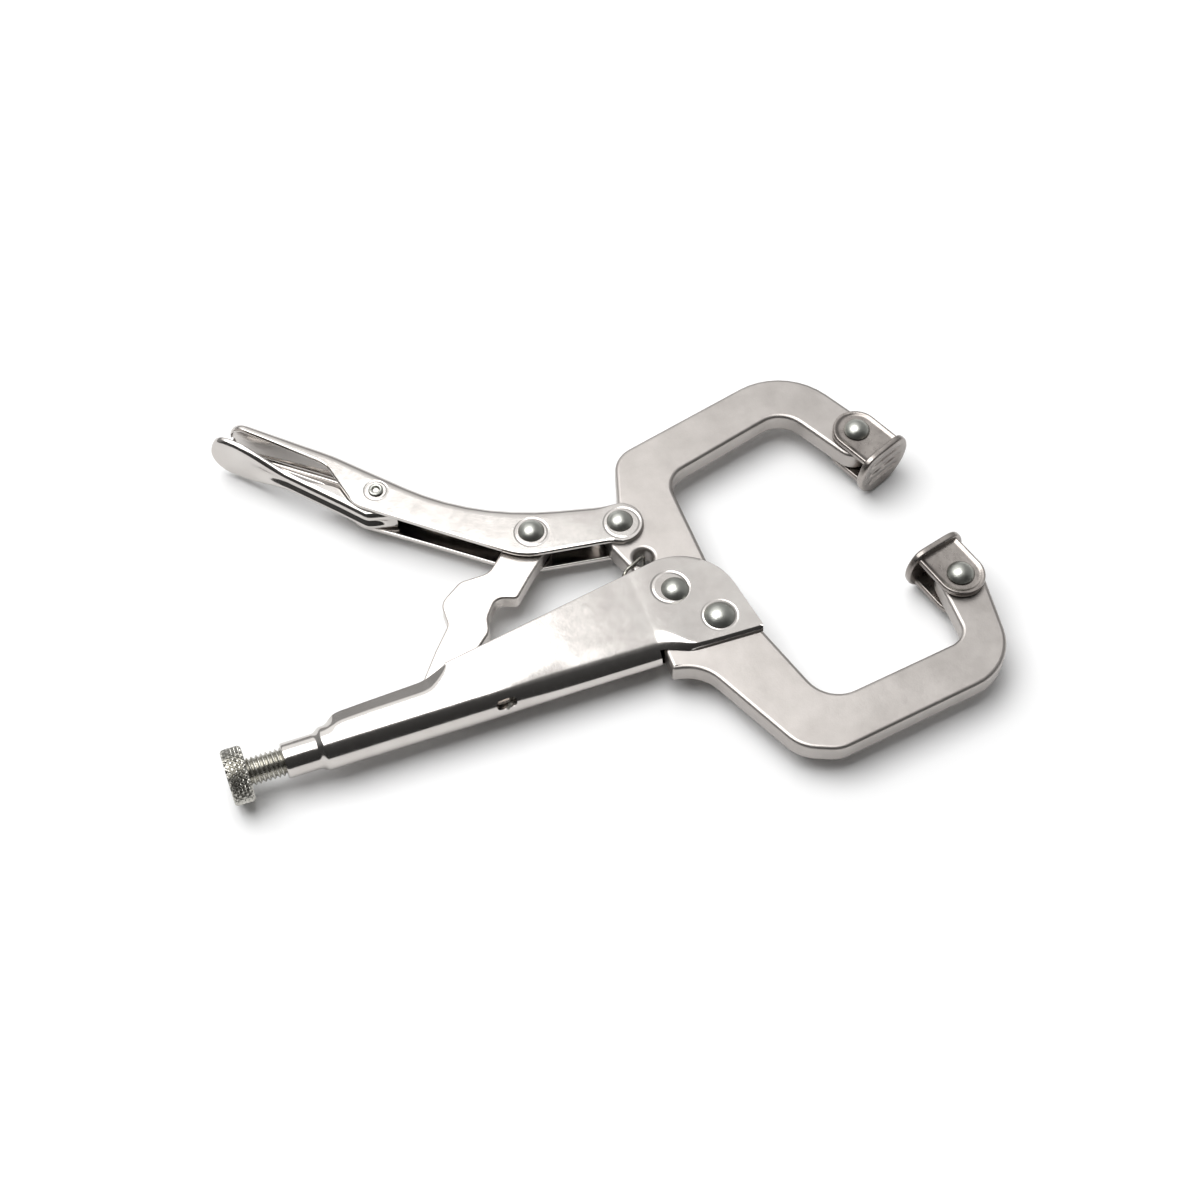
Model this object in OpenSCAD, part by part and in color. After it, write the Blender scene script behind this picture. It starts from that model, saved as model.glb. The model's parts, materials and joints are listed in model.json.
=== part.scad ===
// Locking C clamp, lying on its side with its handle open.
// Two handles pressed from steel sheet, two flat jaws with swivel pads and a toggle link
// make an over-centre linkage that a knurled screw adjusts.
//
// Every outline is drawn around the jaw pivot: X runs along the adjusting screw, towards the
// jaws, Y towards the moving jaw, and Z is the clamp's thickness. The whole clamp is then
// moved so that the origin is in the middle of its box, on the surface that it lies on.

/* [Overall] */
// Distance along X from the jaw pivot back to the open end of the fixed handle
handle_length = 89.8; // [80:0.2:112]
// Distance along X from the jaw pivot to the moving jaw's pad rivet
jaw_reach = 53.6; // [50:0.2:66]
// Height of the moving jaw's pad rivet above the jaw pivot, with the clamp open
upper_pad_height = 25.7; // [22:0.1:31]
// Depth of the fixed jaw's pad rivet below the jaw pivot
lower_pad_depth = 17.4; // [14.5:0.1:21]
// Distance along X that the fixed jaw's pad rivet stands beyond the moving jaw's
lower_pad_offset = 5.5; // [3:0.1:8]
// Depth of the throat's floor below the jaw pivot
throat_depth = 36.1; // [33:0.1:44]
// Length of the lever handle from its jaw rivet to the tip of its tail
lever_length = 91; // [86:0.5:110]

/* [Jaws] */
// Thickness of the plate that both jaws are cut from
jaw_t = 5; // [4:0.1:6.5]
// Width of the jaws' arms
arm_w = 11; // [9:0.1:12.5]
// Radius of the moving jaw's round end at the jaw pivot
hub_r = 6.5; // [5.5:0.1:7]
// Radius of the hole in the moving jaw that the spring hooks into
spring_hole_r = 2.1; // [1.6:0.1:2.4]

/* [Linkage] */
// Distance from the jaw pivot to the rivet that joins the lever handle to the moving jaw
jaw_arm = 21.3; // [20:0.1:23]
// Direction of that rivet from the jaw pivot, with the clamp open
jaw_arm_angle = 103.3; // [100:0.1:106]
// Distance between the lever handle's two rivets
lever_arm = 19.5; // [18:0.1:21]
// Direction of the link rivet from the jaw rivet, with the clamp open
lever_angle = 167.9; // [165:0.1:170]
// Distance along X from the jaw pivot back to the centre of the link's foot
foot_reach = 60; // [57:0.1:63]
// Thickness of the toggle link
link_t = 4; // [3:0.1:4.4]

/* [Handles] */
// Thickness of the sheet that the handles are pressed from
sheet = 1.3; // [1:0.05:1.6]
// Outer radius of the tube that the fixed handle is rolled into
tube_r = 4.7; // [4.4:0.1:6]
// Outer radius of the nose that the tube is drawn down to
nose_r = 3.8; // [3.6:0.1:4.6]
// Length of the nose
nose_length = 7; // [5:0.1:9]
// Distance of the screw's axis below the jaw pivot
screw_drop = 9.7; // [9:0.1:11]
// Half of the width of the lever handle's tail
tail_half_w = 6; // [5:0.1:7]

/* [Screw] */
// Outside diameter of the screw's thread
thread_d = 6; // [5:0.1:6.2]
// Radius of the knurled head
head_r = 6.1; // [5.5:0.1:7]
// Thickness of the knurled head
head_t = 4.4; // [3.5:0.1:6]
// Gap between the knurled head and the nose
thread_show = 7.6; // [6:0.1:12]

/* [Pads] */
// Radius of the round gripping face
pad_r = 7.5; // [6.6:0.1:9]
// Thickness of the pad's sheet
pad_t = 1.6; // [1.2:0.1:2]
// Distance from the pad's rivet to its gripping face
pad_stand = 9.1; // [8.6:0.1:11]
// Direction that the moving jaw's pad faces
upper_pad_angle = -67; // [-72:1:-62]
// Direction that the fixed jaw's pad faces
lower_pad_angle = 105; // [100:1:110]

/* [Rivets] */
// Radius of the four large rivets' shanks
shank_r = 2.2; // [1.8:0.1:2.3]
// Radius of the pad rivets' shanks
pad_shank_r = 1.9; // [1.5:0.1:2.2]
// Radius of the release lever's pin
pin_r = 1.2; // [1:0.1:1.4]

/* [Fits] */
// Radial clearance of a rivet in the piece that turns on it
running_gap = 0.05; // [0.02:0.01:0.1]
// Clearance on each side of a piece that swings between two sheets
side_gap = 0.1; // [0.05:0.05:0.2]
// Clearance on each side of a jaw inside its pad's ears
pad_gap = 0.4; // [0.1:0.1:0.6]

/* [Hidden] */
$fn = 64;

// Directions
function along(angle) = [cos(angle), sin(angle)];

// Pivot centres
jaw_pin = [0, 0];
jaw_rivet = jaw_arm * along(jaw_arm_angle);
link_rivet = jaw_rivet + lever_arm * along(lever_angle);
foot = [-foot_reach, -screw_drop];
fixed_rivet = [6.6, -9.4];
upper_pin = [jaw_reach, upper_pad_height];
lower_pin = [jaw_reach + lower_pad_offset, -lower_pad_depth];

// Thickness of the stack, measured from the clamp's middle plane
jaw_half = jaw_t / 2;
cheek_in = jaw_half + side_gap;
cheek_out = cheek_in + sheet;
rest_height = pad_r;

// The fixed handle's spine: a tube to the rear of it, open to the front of it
tube_end = -handle_length;
spine_low = screw_drop + tube_r;
spine_rear = -45;
spine_front = -8.2;
plate_rear = spine_front + 1;

// Outlines: each corner is [x, y, radius], and a round corner becomes an arc
arc_step = 9;
function unit(v) = v / norm(v);
function arc(centre, r, from, to) =
    let (steps = max(2, ceil(abs(to - from) / arc_step)))
    [for (i = [0:steps]) centre + r * along(from + (to - from) * i / steps)];
function corner_arc(a, b, c, r) =
    let (
        u = unit(a - b),
        v = unit(c - b),
        half = acos(u * v) / 2,
        centre = b + unit(u + v) * r / sin(half),
        start = b + u * r / tan(half) - centre,
        end = b + v * r / tan(half) - centre,
        from = atan2(start.y, start.x),
        turn = (atan2(end.y, end.x) - from + 540) % 360 - 180
    )
    arc(centre, r, from, from + turn);
function flat(p) = [p.x, p.y];
function outline(p) = [for (i = [0:len(p) - 1])
    let (n = len(p), b = p[i])
    each b[2] > 0 ? corner_arc(flat(p[(i + n - 1) % n]), flat(b), flat(p[(i + 1) % n]), b[2]) : [flat(b)]];
function corner(p, r) = [p.x, p.y, r];
function sharp(points) = [for (p = points) corner(p, 0)];

// The link's foot is as large as the tube's hollow lets it be
foot_clear = 0.35;
foot_r = sqrt(pow(tube_r - sheet, 2) - pow(link_t / 2, 2)) - foot_clear;

// A flat plate of the given outline, in the clamp's middle plane
module plate(points, half) {
    translate([0, 0, -half])
        linear_extrude(height = 2 * half)
            polygon(points);
}

// A bore or a pin through the whole stack
module upright(centre, r, half = 20) {
    translate([centre.x, centre.y, -half])
        cylinder(r = r, h = 2 * half);
}

// Jaws ---------------------------------------------------------------------------------

// Corner of an arm's tip: side is +1 on the outer side and -1 on the inner one
tip_r = 5.4;
function tip_corner(pin, direction, side, spread) =
    pin + tip_r * along(direction) + side * spread * along(direction + 90);

upper_arm_angle = -64;
upper_crown = upper_pin + [-7.4, 24.4];
upper_inner = upper_pin + [-13, 12.1];
spring_hole = jaw_rivet + [1.9, -9.7];

moving_jaw_outline = outline(concat(
    sharp(arc(jaw_pin, hub_r, 180, 345)), [
        [hub_r + 3.1, 5.5, 3],
        corner(jaw_rivet + [14.3, 8.5], 6),
        corner(upper_inner, 6.5),
        corner(tip_corner(upper_pin, upper_arm_angle, -1, arm_w / 2 + 0.3), 5),
        corner(tip_corner(upper_pin, upper_arm_angle, 1, arm_w / 2 - 0.6), 4.7),
        corner(upper_crown, 16),
        corner(jaw_rivet + [5.3, 18], 7),
        corner(jaw_rivet + [1.2, 4.6], 1),
        corner(jaw_rivet + [-4, 4.2], 2.5),
        corner(jaw_rivet + [-3.9, -5.2], 2),
        [-hub_r, 8.6, 1.5]
    ]));

module moving_jaw() {
    color("gainsboro")
        difference() {
            plate(moving_jaw_outline, jaw_half);
            upright(jaw_pin, shank_r + running_gap);
            upright(jaw_rivet, shank_r + running_gap);
            upright(upper_pin, pad_shank_r + running_gap);
            upright(spring_hole, spring_hole_r);
        }
}

lower_arm_angle = 83;
throat_floor = -throat_depth;
heel = throat_floor - arm_w;
lower_corner = [lower_pin.x + 2.3, heel + 5.4];
lower_inner = [lower_pin.x - 4.9, throat_floor + 4.5];
hub_clear = hub_r + 0.5;

fixed_jaw_outline = outline(concat(
    sharp(arc(jaw_pin, hub_clear, -30, -128)), [
        [plate_rear, -spine_low + 1.2, 0],
        [plate_rear, -spine_low - 3.4, 0.6],
        [-0.9, -spine_low - 4.9, 9],
        [10.6, heel + 2.8, 9],
        [18.5, heel - 0.6, 8],
        corner(lower_corner, 13),
        corner(tip_corner(lower_pin, lower_arm_angle, -1, arm_w / 2), 4.7),
        corner(tip_corner(lower_pin, lower_arm_angle, 1, arm_w / 2 - 0.2), 4.7),
        corner(lower_inner, 4.3),
        [20.4, throat_floor, 7.5],
        [14.2, -15, 0],
        [12.3, -4.5, 1]
    ]));

module fixed_jaw() {
    color("gainsboro")
        difference() {
            plate(fixed_jaw_outline, jaw_half);
            upright(fixed_rivet, shank_r);
            upright(lower_pin, pad_shank_r + running_gap);
        }
}

// Fixed handle -------------------------------------------------------------------------

tube_start = tube_end + nose_length + 1.8;
slot_start = tube_end + 12.5;
screw_fit = thread_d / 2 + running_gap;
spine_tip_r = cheek_out + 0.2;

// The two cheeks, from the slot's lips at the rear to the rounded front over the jaw pivot
cheek_outline = outline([
    [tube_start + 2, -screw_drop, 0],
    [spine_rear, -screw_drop, 0],
    [spine_front, -screw_drop, 0],
    [spine_front, -spine_low + 1, 0],
    [2, -spine_low - 1, 8],
    [14.7, -spine_low - 1.2, 1.2],
    [10.7, 10.75, 13],
    [-52, -screw_drop + 8.7, 8],
    [-58, -screw_drop + 6.9, 8],
    [slot_start + 4, -screw_drop + 6.1, 3],
    [slot_start, -screw_drop + 3, 0]
]);

// The channel that the link and the spring work in, open on the moving jaw's side
channel_outline = [
    [slot_start, -screw_drop],
    [spine_rear, -screw_drop],
    [spine_front - 0.1, -screw_drop],
    [spine_front - 0.1, -spine_low - 5],
    [20, -spine_low - 5],
    [20, 20],
    [slot_start, 20]
];

// The rolled spine: a tube at the rear that narrows to the cheeks' thickness at the front
module spine(inset) {
    translate([tube_start, -screw_drop, 0])
        rotate([0, 90, 0])
            cylinder(r = tube_r - inset, h = spine_rear - tube_start);
    translate([spine_rear, -screw_drop, 0])
        rotate([0, 90, 0])
            cylinder(r1 = tube_r - inset, r2 = spine_tip_r - inset, h = spine_front - spine_rear);
}

module nose() {
    translate([tube_end, -screw_drop, 0])
        rotate([0, 90, 0])
            cylinder(r = nose_r, h = nose_length);
    translate([tube_end + nose_length, -screw_drop, 0])
        rotate([0, 90, 0])
            cylinder(r1 = nose_r, r2 = tube_r, h = tube_start - tube_end - nose_length);
}

module fixed_handle() {
    color("silver")
        difference() {
            union() {
                spine(0);
                nose();
                plate(cheek_outline, cheek_out);
            }
            spine(sheet);
            plate(channel_outline, cheek_in);
            translate([tube_end - 1, -screw_drop, 0])
                rotate([0, 90, 0])
                    cylinder(r = screw_fit, h = handle_length);
            upright(jaw_pin, shank_r);
            upright(fixed_rivet, shank_r);
            spring_slot();
        }
}

// The slot that the spring's tail hooks into, on the spine's upper flank
slot_place = [-42.6, -spine_low, 1.8];
slot_size = [3.2, 3.4, 1.4];
module spring_slot() {
    translate(slot_place)
        cube(slot_size, center = true);
}

// Lever handle -------------------------------------------------------------------------

lever_end_r = 5.3;
bend = jaw_rivet + [-28.9, 12.5];

// The web stops this far short of the jaw rivet, so that the jaw can turn between the cheeks
web_setback = 5.6;
web_inner = jaw_rivet + (lever_end_r - sheet) * along(75);
bend_inner = bend + [-0.55, -1.4] * sheet / 1.3;
web_stop = web_inner + web_setback * unit(bend_inner - web_inner);
tail_tip = jaw_rivet + lever_length * along(142.8);
tail_kink = tail_tip + [18.9, -16.4];

// Both tail sheets are cut to a width that is measured along this direction from the bend
tail_axis = 135;
function run_of(p) = (p - bend) * along(tail_axis);
widening_start = 2;
tail_run = run_of(tail_tip);
function half_at(p, front, tail) =
    front + (tail - front) * (run_of(p) - widening_start) / (tail_run - widening_start);

lever_outline = outline(concat(
    sharp(arc(jaw_rivet, lever_end_r, -102, 75)), [
        corner(bend, 60),
        corner(tail_kink, 40),
        corner(tail_tip, 0),
        corner(tail_tip + [-0.3, -0.3], 0),
        corner(tail_tip + [16.2, -18.7], 8),
        corner(tail_tip + [19, -31.1], 6),
        corner(link_rivet + [-3.6, -5.6], 14),
        corner(jaw_rivet + [-4.1, -4.1], 0)
    ]));

// The hollow inside the lever handle: the same bend, one sheet further in, open below
lever_hollow = outline([
        [20, 0, 0],
        [20, 60, 0],
        corner(web_stop + 4 * sheet * along(75), 0),
        corner(web_stop, 0),
        corner(bend_inner, 60 + sheet),
        corner(tail_kink + [-0.9, -0.95] * sheet / 1.3, 40 - sheet),
        corner(tail_tip + [-10.9, 7.6], 0),
        [-100, 60, 0],
        [-60, 0, 0]
    ]);

// Half of the handle's width, seen from above the spine: it widens towards the tail
module lever_width(half_front, half_tail, tip_round) {
    translate([bend.x, bend.y, 0])
        rotate([0, 0, tail_axis])
            rotate([90, 0, 0])
                translate([0, 0, -100])
                    linear_extrude(height = 200)
                        polygon(outline([
                            [-60, -half_front, 0],
                            [widening_start, -half_front, 0],
                            [tail_run, -half_tail, tip_round],
                            [tail_run, half_tail, tip_round],
                            [widening_start, half_front, 0],
                            [-60, half_front, 0]
                        ]));
}

module lever_handle() {
    color("silver")
        difference() {
            intersection() {
                plate(lever_outline, 20);
                lever_width(cheek_out, tail_half_w, 4);
            }
            intersection() {
                plate(lever_hollow, 20);
                lever_width(cheek_in, tail_half_w - sheet, 0);
            }
            upright(jaw_rivet, shank_r);
            upright(link_rivet, shank_r);
            upright(release_pin, pin_r);
        }
}

// Toggle link --------------------------------------------------------------------------

link_outline = outline([
    corner(link_rivet + [3.6, -3.2], 0),
    corner(link_rivet + [-3.6, -9.8], 2),
    corner(link_rivet + [-8, -14.2], 1.2),
    corner(link_rivet + [-12.3, -12.6], 2.4),
    corner(link_rivet + [-15.6, -16.8], 3),
    corner(link_rivet + [-16.3, -20.2], 3),
    corner(foot + foot_r * along(-40), 0),
    corner(foot + foot_r * along(140), 0),
    corner(foot + [7.4, 13.7], 8),
    corner(foot + [11.9, 18.9], 3),
    corner(link_rivet + [-24, -9.8], 3.5),
    corner(link_rivet + [-18.4, -6], 3),
    corner(link_rivet + [-11.8, -5.9], 4),
    corner(link_rivet + [-3.2, 2.6], 0)
]);
link_boss_r = lever_end_r - sheet + 0.1;

module toggle_link() {
    color("whitesmoke")
        difference() {
            union() {
                plate(link_outline, link_t / 2);
                upright(foot, foot_r, link_t / 2);
                upright(link_rivet, link_boss_r, link_t / 2);
            }
            upright(link_rivet, shank_r + running_gap);
        }
}

// Release lever ------------------------------------------------------------------------

release_pin = tail_tip + [24.7, -29.3];
release_t = 1.2;
release_path = [
    release_pin + [-0.9, -5.8],
    release_pin + [-3.7, -4.4],
    release_pin + [-8.1, 1.2],
    release_pin + [-17.3, 11.8],
    release_pin + [-23.3, 18.4],
    release_pin + [-27.3, 22.4],
    release_pin + [-30.9, 26.2]
];
release_run = run_of(release_path[6]);
release_ear_out = half_at(release_pin, cheek_in, tail_half_w - sheet) - 0.45;
release_ear_mid = release_ear_out - release_t / 2;

// A strip of even thickness along a path
function sideways(p, i) =
    let (d = unit(p[min(i + 1, len(p) - 1)] - p[max(i - 1, 0)]))
    [-d.y, d.x];
function strip(p, t) = concat(
    [for (i = [0:len(p) - 1]) p[i] + sideways(p, i) * t / 2],
    [for (i = [len(p) - 1:-1:0]) p[i] - sideways(p, i) * t / 2]);

release_ear = outline([
    corner(release_path[0], 0),
    corner(release_pin + [3.2, -4], 1),
    corner(release_pin + [3.4, 0.6], 1.5),
    corner(release_pin + [0.6, 3.4], 1.5),
    corner(release_pin + [-3.3, 3.4], 2.4),
    corner(release_path[2], 0),
    corner(release_path[1], 0)
]);

module release_lever() {
    color("lightgray")
        difference() {
            union() {
                intersection() {
                    plate(strip(release_path, release_t), 20);
                    release_width();
                }
                for (side = [-1, 1])
                    translate([0, 0, side * release_ear_mid])
                        plate(release_ear, release_t / 2);
            }
            upright(release_pin, pin_r + running_gap);
        }
}

// The strip is as narrow as its ears at the pin and as wide as the lever's tail at its paddle
module release_width() {
    translate([bend.x, bend.y, 0])
        rotate([0, 0, tail_axis])
            rotate([90, 0, 0])
                translate([0, 0, -100])
                    linear_extrude(height = 200)
                        polygon(outline([
                            [0, -release_ear_mid, 0],
                            [release_run - 37, -release_ear_mid, 0],
                            [release_run - 19, -tail_half_w, 6],
                            [release_run, -tail_half_w, 4.5],
                            [release_run, tail_half_w, 4.5],
                            [release_run - 19, tail_half_w, 6],
                            [release_run - 37, release_ear_mid, 0],
                            [0, release_ear_mid, 0]
                        ]));
}

// Adjusting screw ----------------------------------------------------------------------

// The closed linkage is opened at the link's foot, which needs this much room to swing
foot_gap = 1.6;
screw_tip = foot.x - foot_r - foot_gap;
head_front = tube_end - thread_show;
head_chamfer = 0.5;

module adjusting_screw() {
    color("darkgray")
        translate([head_front - head_t, -screw_drop, 0])
            rotate([90, 0, 90])
                rotate_extrude()
                    polygon([
                        [0, 0],
                        [head_r - head_chamfer, 0],
                        [head_r, head_chamfer],
                        [head_r, head_t - head_chamfer],
                        [head_r - head_chamfer, head_t],
                        [thread_d / 2, head_t],
                        [thread_d / 2, screw_tip - head_front + head_t - 1],
                        [thread_d / 2 - 1, screw_tip - head_front + head_t],
                        [0, screw_tip - head_front + head_t]
                    ]);
}

// Tension spring -----------------------------------------------------------------------

spring_r = 2.2;
spring_wire_r = 0.4;
spring_end_wall = 2 * spring_wire_r;
spring_tail = [slot_place.x, -screw_drop - 1.6];
spring_dir = unit(spring_tail - spring_hole);
coil_start = spring_hole + 9.2 * spring_dir;
coil_end = spring_tail - 3.4 * spring_dir;
coil_length = norm(coil_end - coil_start);
hook_z = jaw_half + spring_wire_r + 0.1;

// Bent wire through a list of points, with a round joint at each bend
module wire(points) {
    for (i = [1:len(points) - 1]) {
        d = points[i] - points[i - 1];
        translate(points[i - 1])
            rotate([0, acos(d.z / norm(d)), atan2(d.y, d.x)])
                cylinder(r = spring_wire_r, h = norm(d), $fn = 24);
    }
    for (i = [1:len(points) - 2])
        translate(points[i])
            sphere(r = 1.1 * spring_wire_r, $fn = 24);
}
function lifted(p, z) = [p.x, p.y, z];

module tension_spring() {
    color("dimgray") {
        translate(lifted(coil_start, 0))
            rotate([0, 90, atan2(spring_dir.y, spring_dir.x)])
                difference() {
                    cylinder(r = spring_r, h = coil_length);
                    translate([0, 0, spring_end_wall])
                        cylinder(r = spring_r - 2 * spring_wire_r, h = coil_length - 2 * spring_end_wall);
                }
        wire([
            lifted(spring_hole, -jaw_half),
            lifted(spring_hole, hook_z),
            lifted(spring_hole + [-5.3, -2.6], hook_z),
            lifted(coil_start + spring_wire_r * spring_dir, 0)
        ]);
        wire([
            lifted(coil_end - spring_wire_r * spring_dir, 0),
            [slot_place.x, -spine_low + 0.4, slot_place.z]
        ]);
    }
}

// Rivets -------------------------------------------------------------------------------

// A shank with a domed head at each end, upright at the given centre
module rivet(centre, shank, head, dome, half) {
    ball = (head * head + dome * dome) / (2 * dome);
    swing = asin(head / ball);
    cap = [for (a = [swing:-swing / 8:0]) [ball * sin(a), half + dome - ball + ball * cos(a)]];
    foot_cap = [for (i = [len(cap) - 1:-1:0]) [cap[i].x, -cap[i].y]];
    translate([centre.x, centre.y, 0])
        rotate_extrude()
            polygon(concat(foot_cap, [[shank, -half], [shank, half]], cap));
}

module jaw_pivot_rivet() {
    color("darkseagreen") rivet(jaw_pin, shank_r, 3.1, 1.7, cheek_out);
}
module fixed_jaw_rivet() {
    color("darkseagreen") rivet(fixed_rivet, shank_r, 3.4, 1.8, cheek_out);
}
module lever_jaw_rivet() {
    color("darkseagreen") rivet(jaw_rivet, shank_r, 2.9, 1.6, cheek_out);
}
module lever_link_rivet() {
    color("darkseagreen") rivet(link_rivet, shank_r, 2.9, 1.6, cheek_out);
}
module release_lever_pin() {
    color("gainsboro")
        rivet(release_pin, pin_r, pin_r + 0.4, 0.5, half_at(release_pin, cheek_out, tail_half_w) + 0.05);
}
module upper_pad_rivet() {
    color("darkseagreen") rivet(upper_pin, pad_shank_r, 2.9, 1.6, pad_out);
}
module lower_pad_rivet() {
    color("darkseagreen") rivet(lower_pin, pad_shank_r, 3, 1.6, pad_out);
}

// Swivel pads --------------------------------------------------------------------------

pad_in = jaw_half + pad_gap;
pad_out = pad_in + pad_t;
pad_ear_r = 5.4;
pad_lip = 1.3;

// Drawn facing +X with the rivet at the origin, then turned to face its own way
module pad(centre, angle) {
    translate([centre.x, centre.y, 0])
        rotate([0, 0, angle])
            difference() {
                union() {
                    intersection() {
                        translate([pad_stand - pad_t, 0, 0])
                            rotate([0, 90, 0])
                                cylinder(r = pad_r, h = pad_t);
                        translate([pad_stand - pad_t, -20, -20])
                            cube([pad_t, 40, 20 + pad_out + pad_lip]);
                    }
                    for (side = [-1, 1])
                        translate([0, 0, side * (pad_in + pad_t / 2)]) {
                            plate([
                                [0, -pad_ear_r],
                                [pad_stand - pad_t / 2, -pad_ear_r + 0.4],
                                [pad_stand - pad_t / 2, pad_ear_r - 0.4],
                                [0, pad_ear_r]
                            ], pad_t / 2);
                            upright([0, 0], pad_ear_r, pad_t / 2);
                        }
                }
                upright([0, 0], pad_shank_r);
            }
}

module upper_pad() {
    color("lightgray") pad(upper_pin, upper_pad_angle);
}
module lower_pad() {
    color("lightgray") pad(lower_pin, lower_pad_angle);
}

// Place in the frame -------------------------------------------------------------------

x_low = head_front - head_t;
x_high = lower_pin.x + arm_w / 2 + 1.3;
y_low = heel - 0.3;
y_high = tail_tip.y;

module place() {
    translate([-(x_low + x_high) / 2, -(y_low + y_high) / 2, rest_height])
        children();
}

place() fixed_handle();
place() fixed_jaw();
place() moving_jaw();
place() lever_handle();
place() toggle_link();
place() release_lever();
place() adjusting_screw();
place() tension_spring();
place() jaw_pivot_rivet();
place() fixed_jaw_rivet();
place() lever_jaw_rivet();
place() lever_link_rivet();
place() release_lever_pin();
place() upper_pad();
place() lower_pad();
place() upper_pad_rivet();
place() lower_pad_rivet();
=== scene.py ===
import json
import math

import bmesh
import bpy
import numpy as np
from mathutils import Matrix, Vector


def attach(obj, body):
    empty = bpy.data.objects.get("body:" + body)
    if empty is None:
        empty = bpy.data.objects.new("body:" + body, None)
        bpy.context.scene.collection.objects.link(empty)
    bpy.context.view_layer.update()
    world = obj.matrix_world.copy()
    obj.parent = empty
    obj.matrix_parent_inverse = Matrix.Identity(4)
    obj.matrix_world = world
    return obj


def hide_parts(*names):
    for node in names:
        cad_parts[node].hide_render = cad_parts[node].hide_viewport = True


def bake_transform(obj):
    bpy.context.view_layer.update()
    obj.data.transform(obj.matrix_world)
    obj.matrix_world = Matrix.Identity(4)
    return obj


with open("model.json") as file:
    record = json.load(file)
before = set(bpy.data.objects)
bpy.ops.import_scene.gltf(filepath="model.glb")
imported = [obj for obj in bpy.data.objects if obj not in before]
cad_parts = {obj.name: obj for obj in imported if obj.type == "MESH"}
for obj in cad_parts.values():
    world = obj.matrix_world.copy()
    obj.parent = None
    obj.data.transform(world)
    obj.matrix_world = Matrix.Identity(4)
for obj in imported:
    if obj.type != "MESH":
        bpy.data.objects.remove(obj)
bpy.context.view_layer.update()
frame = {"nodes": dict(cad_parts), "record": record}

# ---------------------------------------------------------------- View
# A 66 mm lens looks down at 57 degrees on the clamp, which lies on its side. Everything is drawn in
# millimetres around the jaw pivot: x along the adjusting screw towards the jaws, y towards the moving
# jaw and z through the clamp's thickness, from its middle plane.
MM = 0.001
hinges = {joint["name"]: joint for joint in frame["record"]["behaviour"]["joints"]}
ORIGIN = np.array(hinges["jaw_pivot"]["pos_m"]) / MM


def to_row(points):
    """Millimetres around the jaw pivot turned into the frame's metres: add the pivot, then scale."""
    return (np.asarray(points, float) + ORIGIN) * MM


eye = Vector(to_row((-103.46, -237.39, 397.59)))
aim = Vector(to_row((-15.71, 3.71, 2.5)))
camera = bpy.data.objects.new("camera", bpy.data.cameras.new("camera"))
camera.data.lens = 66
camera.data.sensor_width = 36
camera.data.clip_start = 0.01
camera.location = eye
camera.rotation_euler = (aim - eye).to_track_quat("-Z", "Y").to_euler()
bpy.context.collection.objects.link(camera)
bpy.context.scene.camera = camera
bpy.context.scene.view_settings.view_transform = "Standard"


# ---------------------------------------------------------------- Floor and light
# A plain white sweep under a broad light from the upper left. The room is bright overhead and
# dark behind the viewer, which draws the dark band along every polished roll.
def colour(code):
    """A hex sRGB colour as linear red, green, blue and alpha, by the sRGB curve."""
    part = [int(code[i:i + 2], 16) / 255 for i in (1, 3, 5)]
    return [c / 12.92 if c <= 0.04045 else ((c + 0.055) / 1.055) ** 2.4 for c in part] + [1.0]


def add_node(tree, kind, settings=None, **inputs):
    """Adds a node, sets its properties, and sets or links its inputs by name or number."""
    node = tree.nodes.new(kind)
    for key, value in (settings or {}).items():
        setattr(node, key, value)
    for key, value in inputs.items():
        socket = node.inputs[int(key[1:]) if key[0] == "_" else key.replace("_", " ")]
        if isinstance(value, bpy.types.NodeSocket):
            tree.links.new(value, socket)
        else:
            socket.default_value = value
    return node


def ramp(tree, factor, stops):
    """A colour ramp through the given places and colours."""
    node = add_node(tree, "ShaderNodeValToRGB", _0=factor)
    while len(node.color_ramp.elements) < len(stops):
        node.color_ramp.elements.new(0.5)
    for element, (place, value) in zip(node.color_ramp.elements, stops):
        element.position = place
        element.color = value if isinstance(value, list) else [value, value, value, 1]
    return node.outputs[0]


world = bpy.data.worlds.new("studio")
bpy.context.scene.world = world
world.use_nodes = True
sky = world.node_tree
sky.nodes.clear()
toward = add_node(sky, "ShaderNodeTexCoord").outputs["Generated"]


def facing(direction):
    """How squarely a ray points along a direction: their dot product."""
    unit = tuple(Vector(direction).normalized())
    product = add_node(sky, "ShaderNodeVectorMath", {"operation": "DOT_PRODUCT"}, _0=toward, _1=unit)
    return product.outputs["Value"]


ceiling = add_node(sky, "ShaderNodeMapRange", _0=facing((1, 0, 0)), _1=0.12, _2=0.42, _3=0.95, _4=0.22)
overhead = add_node(sky, "ShaderNodeMapRange", {"interpolation_type": "SMOOTHSTEP"},
                    _0=facing((-0.05, 0.47, 0.88)), _1=0.72, _2=0.80, _3=0.0, _4=ceiling.outputs[0])
around = add_node(sky, "ShaderNodeMapRange", _0=facing((-0.342, -0.94, 0)), _1=-1.0, _2=1.0)
walls = ramp(sky, around.outputs[0], [(0.0, 0.45), (0.5, 0.3), (0.66, 0.08), (1.0, 0.04)])
level = add_node(sky, "ShaderNodeMath", {"operation": "ADD"}, _0=overhead.outputs[0], _1=walls)
light = add_node(sky, "ShaderNodeBackground", Strength=level.outputs[0])
light.inputs["Color"].default_value = (1, 1, 1, 1)
add_node(sky, "ShaderNodeOutputWorld", Surface=light.outputs[0])


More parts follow.
